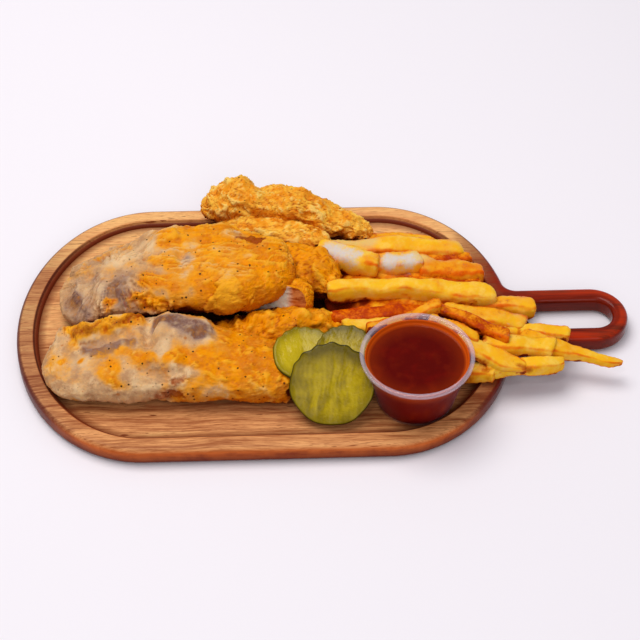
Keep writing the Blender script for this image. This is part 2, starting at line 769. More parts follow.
def cup_profile(look):
    wall, lip, top = look.wall / MM, look.lip_width / MM, CUP_HEIGHT
    edge = wall_radius(top)
    inside = [(0.0, wall), (CUP_BASE_RADIUS - CUP_FOOT - 1.0, wall), (CUP_BASE_RADIUS - 1.4, wall + 0.5)]
    inside += [(wall_radius(h) - wall, h) for h in (CUP_FOOT + wall, 6, 12, 18, 24, 28.6)]
    inside += [(wall_radius(29.4) - wall + 0.25, 29.2), (wall_radius(top) - wall, top - 1.1)]
    bead = arc((edge - wall / 2 + 0.15, top - 0.62), 0.55, 0.62, math.pi, math.pi / 2, 4)
    rolled = arc((edge + lip - 0.75, top - 0.75), 0.75, 0.75, math.pi / 2, -0.25 * math.pi, 7)
    under = [(edge + lip - 0.2, top - 2.1), (edge + lip - 0.5, top - 2.5), (edge + 0.5, top - 2.3)]
    outside = [(wall_radius(h), h) for h in (top - 3.0, 26, 20, 14, 8, 4, CUP_FOOT)]
    foot = arc((CUP_BASE_RADIUS - CUP_FOOT, CUP_FOOT), CUP_FOOT, CUP_FOOT, 0.0, -math.pi / 2, 5)
    return inside + bead + rolled + under + outside + foot + [(0.0, 0.0)]


def clear_plastic(look):
    """Thin clear plastic: see-through face on, milky at a glancing angle, always glossy."""
    made = Finish("clear_cup")
    facing = made.add("ShaderNodeLayerWeight", {}, {"Blend": 0.5}, "Facing")
    cloud = made.noise(11, 2.0) * 0.002
    lip = made.mask("lip")
    share = look.haze + cloud + facing ** 8.0 * 0.6 + lip * 0.28
    gloss = made.add(
        "ShaderNodeBsdfPrincipled",
        {},
        {
            "Base Color": look.plastic,
            "Roughness": 0.07,
            "Specular IOR Level": 0.9,
            "Coat Weight": 1.0,
            "Coat Roughness": 0.03,
        },
    )
    through = made.add("ShaderNodeBsdfTransparent", {}, {0: (0.97, 0.95, 0.97, 1.0)})
    both = made.add("ShaderNodeMixShader", {}, {0: share, 1: through, 2: gloss})
    made.add("ShaderNodeOutputMaterial", {}, {"Surface": both})
    return made.material


class PLATTER_OT_cup(bpy.types.Operator):
    """Builds the clear tapered cup with its rolled lip"""

    bl_idname = "platter.cup"
    bl_label = "Clear cup"

    def execute(self, context):
        look = context.scene.platter_cup
        mesh = turned("clear_cup", cup_profile(look))
        height = points_of(mesh)[:, 2] / MM - SIT
        paint(mesh, "lip", soft_step(CUP_HEIGHT - LIP_LOOK[0], CUP_HEIGHT - LIP_LOOK[1], height))
        place("clear_cup", mesh, clear_plastic(look), "clear_plastic", "cup")
        return {"FINISHED"}


def dip_level(look):
    return CUP_HEIGHT - look.below_rim / MM


def dip_profile(look, wall):
    """The dip fills the cup to just inside its wall and climbs it in a thin meniscus."""
    level = dip_level(look)
    inside = wall - DIP_GAP
    surface = [(r, level) for r in (0.0, 4, 8, 12, 16, 20, 23)]
    climb = [(wall_radius(level) - inside - back, level + rise) for back, rise in MENISCUS]
    climb.append((wall_radius(level + 2.6) - inside, level + 2.7))
    side = [(wall_radius(h) - inside, h) for h in (28, 22, 16, 10, 5, CUP_FOOT + 0.6)]
    return surface + climb + side + [(CUP_BASE_RADIUS - 1.6, wall), (CUP_BASE_RADIUS - 4, wall), (0.0, wall)]


def sauce(look):
    """Glossy dark red sauce, orange where it is only a film."""
    made = Finish("barbecue_dip")
    swirl = made.noise(9, 3.0, 0.6)
    flecks = made.specks(3.2, 0.34, 0.35)
    wall = made.mask("wall")
    runs = made.noise(made.stretched(7, 7, 16), 2.0, 0.5)
    tint = made.coated(
        look.deep,
        (swirl.step(0.45, 0.75) * 0.5, look.side),
        (wall * (0.75 + 0.5 * runs), look.side),
        (wall * runs.step(0.5, 0.75) * 0.5, look.amber),
        (made.mask("film"), look.film),
        (flecks * 0.5, FLECK_TONE),
    )
    return made.surface(
        {
            "Base Color": tint,
            "Roughness": 0.13 + wall * 0.2,
            "Normal": made.bump(swirl, 0.5, 0.5),
            "IOR": 1.12,
        }
    )


class PLATTER_OT_dip(bpy.types.Operator):
    """Fills the cup with the red dip"""

    bl_idname = "platter.dip"
    bl_label = "Dip"

    def execute(self, context):
        look = context.scene.platter_dip
        mesh = turned("red_dip", dip_profile(look, context.scene.platter_cup.wall / MM))
        points = points_of(mesh) / MM - CUP_AT
        reach = np.hypot(points[:, 0], points[:, 1])
        level = dip_level(look)
        rim = wall_radius(level)
        edge = soft_step(rim - 2.6, rim - 0.9, reach) + 0.16 * soft_step(rim - 12, rim - 1, reach)
        paint(mesh, "film", edge * soft_step(level - 1.5, level + 0.2, points[:, 2]))
        paint(mesh, "wall", soft_step(level + 0.4, level - 1.0, points[:, 2]))
        place("red_dip", mesh, sauce(look), "red_dip", "dip")
        return {"FINISHED"}


# ---------------------------------------------------------------- the pickle slices

# centre (x, y, z), half width, half height, tilt from level in degrees, turn in degrees
PICKLES = {
    "pickle_front": ((34.5, -61.5, 24.8), 22.5, 21.8, 45.0, -3.0),
    "pickle_left": ((20.5, -42.5, 28.0), 16.8, 17.0, 12.0, 5.0),
    "pickle_right": ((42.5, -43.0, 30.5), 16.0, 15.5, 10.0, -6.0),
}
PICKLE_BRIGHTNESS = (0.06, 0.4, 0.0)
PICKLE_RINGS = 110
PICKLE_SIDES = 144
PICKLE_THICKNESS = 3.0
# The share of the way from the middle of one face to the middle of the other that a face takes up.
FACE_SHARE = 0.43
DISH = 1.1


def pickle_mesh(name, look):
    """A crosswise crinkle-cut slice: wavy faces, a rounded rind and a slight dish."""
    centre, half_width, half_height, tilt, turn = PICKLES[name]
    mesh, unit = ball(name + "_slice", PICKLE_RINGS, PICKLE_SIDES)
    angle = np.arctan2(unit[:, 1], unit[:, 0])
    down = np.arccos(np.clip(unit[:, 2], -1, 1)) / math.pi
    half = PICKLE_THICKNESS / 2
    edge = half / half_width
    across = np.clip(np.minimum(down, 1 - down) / FACE_SHARE, 0, 1)
    swing = np.clip((down - FACE_SHARE) / (1 - 2 * FACE_SHARE), 0, 1) * math.pi
    reach = across * (1 - edge) + edge * np.sin(swing)
    phase = centre[0]
    upper = soft_step(0.1, 0.7, unit[:, 1])
    knobs = 1 + (0.012 * np.sin(7 * angle + phase) + 0.022 * np.sin(17 * angle + 2 * phase) * upper)
    x, y = reach * np.cos(angle) * half_width * knobs, reach * np.sin(angle) * half_height * knobs
    z = half * np.cos(swing) + DISH * (reach**2 - 0.5) + 0.5 * np.sin(2 * angle + phase) * reach
    flat = np.stack([x, y, np.zeros(len(x))], axis=1)
    pitch, height = look.ridge_pitch / MM, look.ridge_height / MM
    bands = waves(flat * (1.0, 0.12, 1.0), 1.25 * pitch, phase)
    bands += 0.6 * waves(flat * (1.0, 0.2, 1.0), 0.6 * pitch, phase)
    ridge = np.sin(2 * math.pi * (x + 4.0 * waves(flat, 12, phase)) / pitch) * 0.25 + 1.3 * bands
    points = np.stack([x, y, z + height * ridge + 0.3 * waves(flat, 6, phase)], axis=1)
    pose = Matrix.Rotation(math.radians(turn), 3, "Z") @ Matrix.Rotation(math.radians(tilt), 3, "X")
    move_points(mesh, (points @ np.array(pose).T + centre) * MM)
    paint(mesh, "rind", soft_step(0.955, 0.99, reach + 0.006 * waves(flat, 3, phase)))
    paint(mesh, "ridge", 0.5 + 0.45 * ridge)
    paint(mesh, "reach", reach)
    paint(mesh, "upper", soft_step(0.35, 0.95, unit[:, 1] + 0.3 * waves(flat, 9, phase)))
    return mesh


def pickle_flesh(look, name, bright):
    """Wet yellow-green flesh with a dark rind, darker above and lighter on the ridges."""
    made = Finish(name)
    reach, ridge = made.mask("reach"), made.mask("ridge")
    cloud = made.noise(8, 3.0, 0.6)
    veins = made.noise(1.6, 2.0)
    tint = made.coated(
        look.green,
        ((cloud * 0.9 + ridge * 0.28 + bright).step(0.15, 0.85), look.flesh),
        ((cloud * 0.8 + ridge * 0.38 + bright).step(0.55, 1.1) * 0.75, look.pale_flesh),
        (reach.step(0.62, 0.98) * 0.6 + made.mask("upper") * (0.65 - bright), look.green),
        (made.mask("rind") * 0.9, look.rind),
    )
    return made.surface(
        {
            "Base Color": tint,
            "Roughness": 0.08 + veins * 0.08,
            "Normal": made.bump(veins * 0.8 + cloud * 0.2, 0.4, 0.9),
            "Subsurface Weight": 0.25,
            "Subsurface Radius": (0.004, 0.004, 0.001),
            "Subsurface Scale": 0.4,
            "Specular IOR Level": 0.12,
            "Coat Weight": 0.5,
            "Coat Roughness": 0.03,
            "Coat IOR": 1.16,
        }
    )


class PLATTER_OT_pickles(bpy.types.Operator):
    """Builds the three crinkle-cut pickle slices"""

    bl_idname = "platter.pickles"
    bl_label = "Pickle slices"

    def execute(self, context):
        look = context.scene.platter_pickles
        for name, bright in zip(PICKLES, PICKLE_BRIGHTNESS):
            flesh = pickle_flesh(look, name, bright)
            place("slice_of_" + name, pickle_mesh(name, look), flesh, "pickle", name)
        return {"FINISHED"}


# ---------------------------------------------------------------- the chicken

# Each finger is a loft along its stations: x, y, z, half width, half height and roll in degrees. Rings and
# sides set how fine the mesh is. Relief is the height and size of the broad lumps, then of the crags;
# small is the height and size of the small crags, and grain the direction that their flakes run in. Welts
# are lumps or clefts: start, end, radius and height. Gold, mauve, cream, crags and toast are strokes:
# start, end, radius and amount. Ramp is where gold starts and ends along X and how much it is there; a
# finger without one is gold all over. Flaps are explained where they are made. Fan is the centre of the
# folds that fan out, and bite is a point and a direction out of the cut face. The order of the fingers
# gives each one the number that its noise starts from.
FINGERS = {
    "finger_low_left": {
        "slot": "pale_crust",
        "rings": 290,
        "sides": 220,
        "relief": (2.0, 19.0, 0.35, 7.5),
        "small": (0.6, 4.5),
        "ramp": (-70, 0, 0.2, 1.0),
        "stations": [
            (-119, -43, 16, 12, 7, 0),
            (-111, -41, 17, 20, 9, 4),
            (-92, -37, 19, 25, 11.5, 6),
            (-66, -35, 20, 25, 12.5, 6),
            (-40, -37, 20, 25, 12.5, 4),
            (-12, -42, 18, 21, 11, 3),
            (8, -44, 17, 18.5, 9.5, 3),
            (22, -42, 17, 16, 9.5, 0),
            (33, -40, 15, 9, 6, 0),
        ],
        "welts": [
            ((-108, -25, 24), (-108, -20, 27), 6, 6.5),
            ((-100, -26, 30), (-67, -17, 33), 7, 4.0),
            ((-63, -16, 33), (-62, -36, 32), 5, -5.0),
            ((-92, -32, 31), (-76, -27, 32), 6, -2.5),
            ((-52, -21, 32), (-36, -24, 32), 12, 4.0),
            ((-57, -30, 32), (-54, -27, 32), 5, 2.5),
            ((-60, -46, 30), (-48, -48, 30), 8, 3.0),
            ((-51, -60, 18), (-47, -60, 18), 6, -2.5),
            ((-84, -54, 26), (-76, -55, 26), 9, 2.0),
            ((-8, -44, 29), (2, -45, 28), 10, 2.0),
        ],
        "gold": [
            ((-104, -20, 28), (-104, -22, 24), 7, 1.3),
            ((-100, -26, 31), (-67, -17, 33), 6.5, 1.1),
            ((-81, -48, 29), (-83, -56, 27), 8, 0.8),
            ((-103, -33, 29), (-101, -32, 29), 6, 0.6),
            ((-78, -59, 23), (-74, -59, 22), 6, 0.6),
            ((-72, -40, 31), (-64, -46, 31), 8, 0.7),
            ((-50, -46, 34), (-32, -46, 31), 9, 0.8),
            ((-109, -41, 26), (-108, -41, 26), 2.5, 1.2),
            ((-98, -44, 28), (-97, -44, 28), 2.5, 1.2),
            ((-14, -45, 28), (10, -48, 26), 14, 0.5),
            ((-52, -24, 35), (-34, -29, 34), 12, -1.0),
            ((-56, -44, 34), (-53, -35, 34), 6, -0.7),
            ((-32, -61, 22), (-20, -62, 20), 7, -0.5),
            ((-109, -56, 19), (-61, -62, 21), 7, -0.5),
            ((-49, -52, 32), (-36, -55, 28), 6, -0.4),
        ],
        "mauve": [
            ((-93, -37, 30), (-74, -36, 31), 10, 1.6),
            ((-60, -21, 34), (-49, -22, 35), 8, 1.5),
            ((-48, -23, 35), (-37, -27, 34), 10, 1.6),
            ((-34, -29, 34), (-27, -31, 33), 6, 1.1),
            ((-101, -51, 25), (-100, -50, 25), 7, 0.6),
            ((-32, -61, 22), (-28, -61, 22), 6, 0.5),
            ((-70, -34, 29), (-68, -32, 30), 6, 0.6),
        ],
        "cream": [
            ((-56, -46, 33), (-53, -36, 34), 7, 0.6),
            ((-49, -50, 32), (-40, -52, 31), 6, 0.7),
            ((-112, -47, 22), (-95, -44, 28), 10, 0.5),
        ],
        "crags": [
            ((-104, -20, 28), (-104, -22, 24), 6, 0.8),
            ((-100, -26, 31), (-67, -17, 33), 6.5, 1.2),
            ((-50, -57, 26), (-43, -55, 27), 6, 1.0),
            ((-54, -61, 18), (-46, -61, 18), 6, 0.8),
        ],
        "flaps": [
            ((-96, -26, 30), (-84, -22, 32), 6.0, 1.3, 14),
            ((-80, -21, 32), (-70, -17, 33), 5.5, 1.3, 12),
            ((-104, -20, 28), (-104, -24, 24), 4.5, 1.2, 9),
        ],
        "toast": [
            ((-48, -57, 26), (-45, -56, 27), 5, 1.0),
            ((-54, -60, 18), (-46, -60, 18), 7, 1.1),
            ((-100, -27, 31), (-66, -16, 32), 5.5, 0.85),
            ((-8, -35, 29), (-6, -35, 29), 5, 0.5),
        ],
    },
    "finger_top_left": {
        "slot": "pale_crust",
        "rings": 290,
        "sides": 230,
        "relief": (1.8, 22.0, 0.3, 9.0),
        "small": (0.5, 4.5),
        "ramp": (-80, -20, 0.05, 0.95),
        "fan": (-84.0, 20.0),
        "stations": [
            (-114, 14, 15, 10, 6, 0),
            (-104, 14, 17, 25, 9, -3),
            (-88, 18, 21, 27.5, 11.5, -8),
            (-60, 24, 25, 31, 13, -12),
            (-30, 22, 28, 31, 13, -8),
            (-4, 17, 31, 28, 12.5, -4),
            (9, 13, 33, 20, 10.5, 0),
            (17, 12, 33, 9, 6, 0),
        ],
        "welts": [
            ((-90, 0, 22), (-86, -1, 22), 7, 4.5),
            ((-72, -3, 27), (-58, -4, 27), 8, 4.0),
            ((-80, 8, 32), (-70, 4, 33), 6, -4.0),
            ((-96, 20, 30), (-96, 2, 24), 5, -2.5),
            ((-60, 44, 36), (-26, 48, 38), 16, 7.0),
            ((-58, 36, 39), (-53, 38, 40), 7, 3.0),
            ((-40, 48, 41), (-36, 48, 41), 7, 3.0),
            ((-70, 43, 34), (-68, 43, 34), 8, 2.0),
            ((-12, 35, 43), (-3, 33, 43), 4, -4.0),
            ((-22, 3, 38), (-12, 1, 38), 11, 3.5),
            ((-26, 14, 42), (-26, -6, 34), 4, -2.5),
            ((-46, 26, 41), (-46, 8, 38), 4, -2.5),
            ((-112, 22, 17), (-109, 29, 18), 9, 4.5),
        ],
        "gold": [
            ((-54, 36, 41), (-49, 41, 40), 9, 1.3),
            ((-38, 48, 38), (-34, 49, 38), 7, 1.0),
            ((-64, 5, 40), (-46, 0, 40), 8, 0.8),
            ((-24, -8, 35), (-8, -6, 37), 9, 0.9),
            ((-86, -5, 30), (-84, -4, 31), 6, 1.3),
            ((-71, -3, 34), (-57, -6, 34), 6, 1.0),
            ((-92, 34, 28), (-80, 36, 31), 7, 0.45),
            ((-108, 25, 21), (-100, 28, 26), 5, 0.4),
            ((-60, 22, 40), (-48, 12, 41), 7, 0.6),
            ((0, 12, 42), (14, 6, 38), 16, 0.5),
            ((-43, 22, 39), (-43, -2, 37), 7, -0.8),
            ((-22, 41, 38), (-12, 41, 39), 7, -0.35),
            ((-79, 1, 34), (-98, -4, 24), 12, -0.5),
            ((-32, 12, 42), (-8, 20, 43), 6, -0.35),
        ],
        "mauve": [
            ((-81, 2, 34), (-74, -4, 33), 12, 1.25),
            ((-98, -4, 23), (-107, 5, 24), 11, 1.0),
            ((-90, 14, 32), (-74, 12, 36), 10, 0.6),
            ((-58, 41, 40), (-56, 42, 40), 6, 0.7),
            ((-43, 22, 39), (-43, 2, 40), 6, 0.8),
            ((-20, 41, 38), (-14, 41, 39), 5, 0.2),
            ((-92, -1, 31), (-90, 6, 32), 9, 0.4),
            ((-106, 8, 22), (-92, 30, 28), 15, 0.6),
            ((-66, 24, 38), (-60, 28, 38), 7, 0.4),
        ],
        "cream": [
            ((-86, 26, 33), (-66, 33, 37), 12, 0.7),
            ((-106, 16, 24), (-98, 10, 26), 8, 0.4),
            ((-36, 26, 42), (-12, 26, 44), 8, 0.6),
        ],
        "crags": [
            ((-72, -3, 34), (-53, -8, 31), 7, 1.2),
            ((-90, -3, 28), (-85, -5, 29), 5, 0.8),
            ((-54, 36, 41), (-49, 41, 40), 7, 0.5),
            ((-38, 47, 39), (-34, 49, 38), 6, 0.5),
            ((-14, 35, 41), (2, 35, 41), 7, 0.6),
        ],
        "flaps": [
            ((-18, -3, 38), (-22, -12, 31), 9.5, 1.8, 11),
            ((-47, 44, 39), (-42, 38, 42), 5, 0.8, 7),
            ((-72, -2, 33), (-64, -5, 33), 5, 1.2, 9),
            ((-30, 12, 42), (-20, 12, 43), 5, 0.6, 8),
        ],
        "toast": [
            ((-70, -5, 32), (-54, -8, 31), 5, 0.7),
            ((-12, 37, 40), (-3, 34, 41), 5, 2.2),
            ((-86, -5, 30), (-84, -5, 30), 4, 0.4),
        ],
    },
    "finger_middle": {
        "slot": "orange_crust",
        "rings": 160,
        "sides": 120,
        "relief": (1.8, 12.0, 0.8, 7.0),
        "small": (0.6, 5.5),
        "grain": (0.5, -0.7, -0.4),
        "stations": [
            (-28, 34, 16, 7, 7, 0),
            (-8, 34, 17, 12, 9, 0),
            (14, 31, 20, 15, 12, 0),
            (30, 20, 22, 14, 13, 0),
            (38, 10, 20, 7, 8, 0),
        ],
        "welts": [((32, 30, 33), (34, 24, 33), 8, 2.5)],
        "toast": [((26, 16, 32), (32, 6, 28), 9, 0.7)],
    },
    "finger_behind": {
        "slot": "craggy_crust",
        "rings": 150,
        "sides": 110,
        "relief": (1.5, 12.0, 0.6, 7.0),
        "small": (0.6, 5.0),
        "grain": (0.95, -0.3, 0.0),
        "stations": [
            (-30, 66, 17, 7, 7, 0),
            (-10, 63, 18, 11, 9, 0),
            (12, 58, 19, 12, 10, 0),
            (30, 51, 18, 9, 9, 0),
            (40, 47, 16, 5, 5, 0),
        ],
    },
    "finger_back": {
        "slot": "craggy_crust",
        "rings": 250,
        "sides": 150,
        "relief": (1.8, 12.0, 0.7, 8.0),
        "small": (0.85, 4.6),
        "grain": (0.6, 0.0, -0.8),
        "stations": [
            (-35, 80, 19, 7, 6, 0),
            (-28, 81, 22, 12, 10, 0),
            (-15, 82, 25, 12.5, 12.5, 0),
            (3, 78, 25, 12, 10.5, 0),
            (20, 74, 25, 12.5, 11, 0),
            (38, 68, 21, 10.5, 9, 0),
            (56, 61, 18, 9, 7.5, 0),
            (62, 58, 17, 4, 4, 0),
        ],
        "welts": [
            ((-17, 86, 35), (-12, 86, 35), 7, 3.8),
            ((-2, 92, 32), (0, 82, 36), 7, -3.5),
            ((26, 62, 20), (26, 74, 34), 4, -3.5),
        ],
        "toast": [((18, 62, 24), (26, 62, 22), 5, 1.0), ((-32, 76, 24), (-26, 74, 28), 6, 0.4)],
    },
    "finger_cut": {
        "slot": "orange_crust",
        "rings": 150,
        "sides": 110,
        "relief": (1.0, 10.0, 0.7, 7.0),
        "small": (0.4, 4.5),
        "stations": [
            (-14, 4, 20, 5, 5, 0),
            (-4, 3, 22, 9, 8, 0),
            (10, 2, 25, 11, 9.5, 0),
            (21, 1, 26, 10, 9, 0),
            (27, 1, 26, 5, 6, 0),
        ],
        "bite": ((12, -4, 26), (-0.30, -0.80, 0.52)),
    },
    "finger_front": {
        "slot": "orange_crust",
        "rings": 160,
        "sides": 110,
        "relief": (2.0, 12.0, 0.8, 7.0),
        "small": (0.65, 5.0),
        "grain": (0.9, -0.2, 0.3),
        "stations": [
            (-38, -11, 13, 5, 4, 0),
            (-24, -13, 15, 8, 6, 0),
            (-8, -14, 16, 10.5, 8, 0),
            (12, -13, 17, 13, 10, 0),
            (32, -13, 16, 12, 9.5, 0),
            (44, -13, 14, 7, 6, 0),
        ],
        "welts": [
            ((-6, -12, 24), (0, -13, 24), 8, 3.0),
            ((14, -12, 28), (20, -12, 28), 9, 2.5),
        ],
        "toast": [((-14, -16, 20), (0, -22, 16), 8, 0.6)],
    },
}
ALL_GOLD = (-60, 90, 1.2, 1.2)
STROKED = ("gold", "mauve", "cream", "crags", "toast")
# Each crust: its tones when fried, how strongly creases and crests show, and how often pepper does.
CRUSTS = {
    "pale_crust": (("gold", "deep_gold", "bright_gold"), 0.6, 0.5),
    "craggy_crust": (("flake", "amber", "light_flake"), 0.75, 0.1),
    "orange_crust": (("gold", "gold", "bright_gold"), 0.75, 0.12),
}
LOFT_STEP = 0.01
CORE_SEED = 9
# Crags that stand above the top keep this share of what is over it.
CRUST_TOP = 43.6
CRUST_GIVE = 0.35
FLOOR_SOFTNESS = 2.0


def between(a, b, c, d, t):
    """Catmull-Rom between b and c."""
    return 0.5 * (2 * b + (c - a) * t + (2 * a - 5 * b + 4 * c - d) * t * t + (3 * (b - c) + d - a) * t**3)


def along(stations, share):
    """The station at a share of the way along, smoothly between the given ones."""
    at = min(share, 0.99999) * (len(stations) - 1)
    i = int(at)
    rows = [stations[max(0, min(len(stations) - 1, i + k))] for k in (-1, 0, 1, 2)]
    return [between(*values, at - i) for values in zip(*rows)]


def squared(values, power):
    """Keeps the sign and fills out a cosine, so a section is fuller than an ellipse."""
    return np.copysign(np.abs(values) ** power, values)


def loft_frame(stations, share):
    """Centre, side and up of the loft at a share of the way along, then its half sizes."""
    x, y, z, half_width, half_height, roll = along(stations, share)
    front = Vector(along(stations, min(1.0, share + LOFT_STEP))[:3])
    back = Vector(along(stations, max(0.0, share - LOFT_STEP))[:3])
    heading = (front - back).normalized()
    side = Matrix.Rotation(math.radians(roll), 3, heading) @ Vector((0, 0, 1)).cross(heading).normalized()
    up = heading.cross(side)
    return (x, y, z, *side, *up, *heading, half_width, half_height)


def lofted(name, spec, seed):
    """The finger's mesh with its broad shape, the way out at each point, and how full its end is."""
    mesh, unit = ball(name, spec["rings"], spec["sides"])
    share = 0.5 + 0.5 * np.clip(unit[:, 2], -1, 1)
    turn = np.arctan2(unit[:, 1], unit[:, 0])
    shares, where = np.unique(np.round(share, 6), return_inverse=True)
    rows = np.array([loft_frame(spec["stations"], value) for value in shares.tolist()])[where.ravel()]
    centre, side, up, heading = rows[:, 0:3], rows[:, 3:6], rows[:, 6:9], rows[:, 9:12]
    half_width, half_height = rows[:, 12], rows[:, 13]
    way = 2 * share - 1
    full = np.clip(1 - np.abs(way) ** 3.0, 0, 1) ** (1 / 3.0)
    open_end = np.sqrt(full)
    spread = side * (squared(np.cos(turn), 0.85) * half_width)[:, None]
    spread += up * (squared(np.sin(turn), 0.85) * half_height)[:, None]
    out = spread * full[:, None] + heading * (way**9 * half_height)[:, None]
    out /= np.linalg.norm(out, axis=1)[:, None]
    points = centre + spread * full[:, None]
    rise = crust(points, seed, spec["relief"]) + strokes(points, spec.get("welts", []))
    points += out * (open_end * rise)[:, None]
    return mesh, points, open_end


def crust(points, seed, relief):
    """How far the crust stands out: broad lumps and crags."""
    lump_height, lump_size, crag_height, crag_size = relief
    shift = np.array((seed * 11.3, seed * 5.1, seed * 7.7))
    lumps = perlin(points / lump_size + shift)
    crags = 1.0 - 4.0 * np.abs(perlin(points / crag_size - shift))
    return lump_height * lumps + crag_height * crags


def soft_floor(height):
    """Flattens what would sink below the floor, with a short soft corner."""
    soft = FLOOR_SOFTNESS
    return np.where(height > soft, height, soft * np.exp((np.minimum(height, soft) - soft) / soft))


def soft_ceiling(height):
    """Presses down the crags that would stand higher than the model."""
    return np.minimum(height, CRUST_TOP) + CRUST_GIVE * np.maximum(height - CRUST_TOP, 0)


def along_grain(points, grain):
    """Squeezes space along a direction, so that noise read from it comes out as long flakes."""
    grain = np.array(grain, float)
    return points - np.outer(points @ grain, grain) * 0.6 / max(grain @ grain, 1e-9)


def crumb(points, seed, height, size, grain):
    """Small creased flakes, as batter fries: their height, and 1 along the bottom of each crease."""
    bent = along_grain(warped(points, 1.1 * size, 0.8 * size, seed), grain)
    coarse = np.abs(waves(bent, size, seed + 2))
    medium = np.abs(waves(warped(bent, 0.5 * size, 0.3 * size, seed + 3), 0.42 * size, seed + 5))
    fine = np.abs(waves(points, 0.2 * size, seed + 8))
    depth = soft_step(-0.2, 0.4, waves(points, 1.5 * size, seed + 11))
    rise = height * ((0.8 + 2.2 * depth) * coarse + 1.7 * medium + 1.1 * fine - 0.75)
    return rise, 1.1 * depth * soft_step(0.09, 0.0, coarse) + 0.8 * soft_step(0.05, 0.0, medium)


def folds(points, seed):
    """Soft folds and dimples, as wet batter sags."""
    bent = warped(points, 22, 9, seed)
    broad = -1.6 * np.abs(waves(bent * (1.0, 0.5, 1.0), 13, seed + 3))
    small = 0.8 * waves(bent * (1.0, 0.45, 1.0), 6.5, seed) - 0.6 * np.abs(waves(bent, 4.5, seed + 6))
    return broad + small + 0.22 * waves(points, 2.2, seed + 9) + 0.4


def wrinkles(points, seed):
    """Thin raised wrinkles that run lengthwise and wander: 1 on a wrinkle and 0 between."""
    bent = warped(points, 26, 5, seed)
    first = soft_step(0.14, 0.0, np.abs(waves(bent * (0.14, 1.0, 1.0), 6.5, seed)))
    second = soft_step(0.14, 0.0, np.abs(waves(bent * (0.2, 1.0, 1.0), 4.2, seed + 5)))
    return np.clip(first + 0.7 * second, 0, 1) * soft_step(-0.35, 0.1, waves(points, 12, seed + 7))


def fan(points, centre, seed):
    """Folds that fan out from a centre: 1 in a fold's shadow and 0 between."""
    turn = np.arctan2(points[:, 1] - centre[1], points[:, 0] - centre[0])
    reach = np.hypot(points[:, 0] - centre[0], points[:, 1] - centre[1])
    bands = np.stack([turn * 22.0, reach * 0.12, 0 * turn], axis=1) + 0.3 * points / 7.0
    fold = soft_step(0.02, 0.45, perlin(bands + seed))
    return fold * soft_step(5.0, 12.0, reach) * soft_step(36.0, 24.0, reach)


def flaps(points, table, seed):
    """Loose lobes of batter that lie on the crust, and the crisp edge where each ends.

    Each has a start, an end, a radius, a height and how far along X it takes to merge.
    """
    rise, edge = np.zeros(len(points)), np.zeros(len(points))
    ragged = 0.42 * waves(points, 7, seed) + 0.22 * waves(points, 3, seed + 1)
    for start, end, radius, height, merge in table:
        away = away_from(points, start, end, radius) + ragged
        fade = soft_step(start[0] + merge, start[0] - 0.5 * merge, points[:, 0])
        rise += height * soft_step(1.0, 0.86, away) * fade
        edge += soft_step(0.96, 1.0, away) * soft_step(1.1, 1.03, away) * fade
    return rise, edge


def bitten(points, bite):
    """Presses what lies beyond a plane onto it, with the meat's fibres standing out."""
    at, outward = np.array(bite[0], float), np.array(bite[1]) / np.linalg.norm(bite[1])
    beyond = np.clip((points - at) @ outward, 0, None)
    fibres = 0.5 * waves(points * (0.4, 1, 0.6), 2.4, 3) + 0.5 * waves(points, 5, 4)
    return points - outward * (beyond - fibres * soft_step(0.3, 1.5, beyond))[:, None], beyond


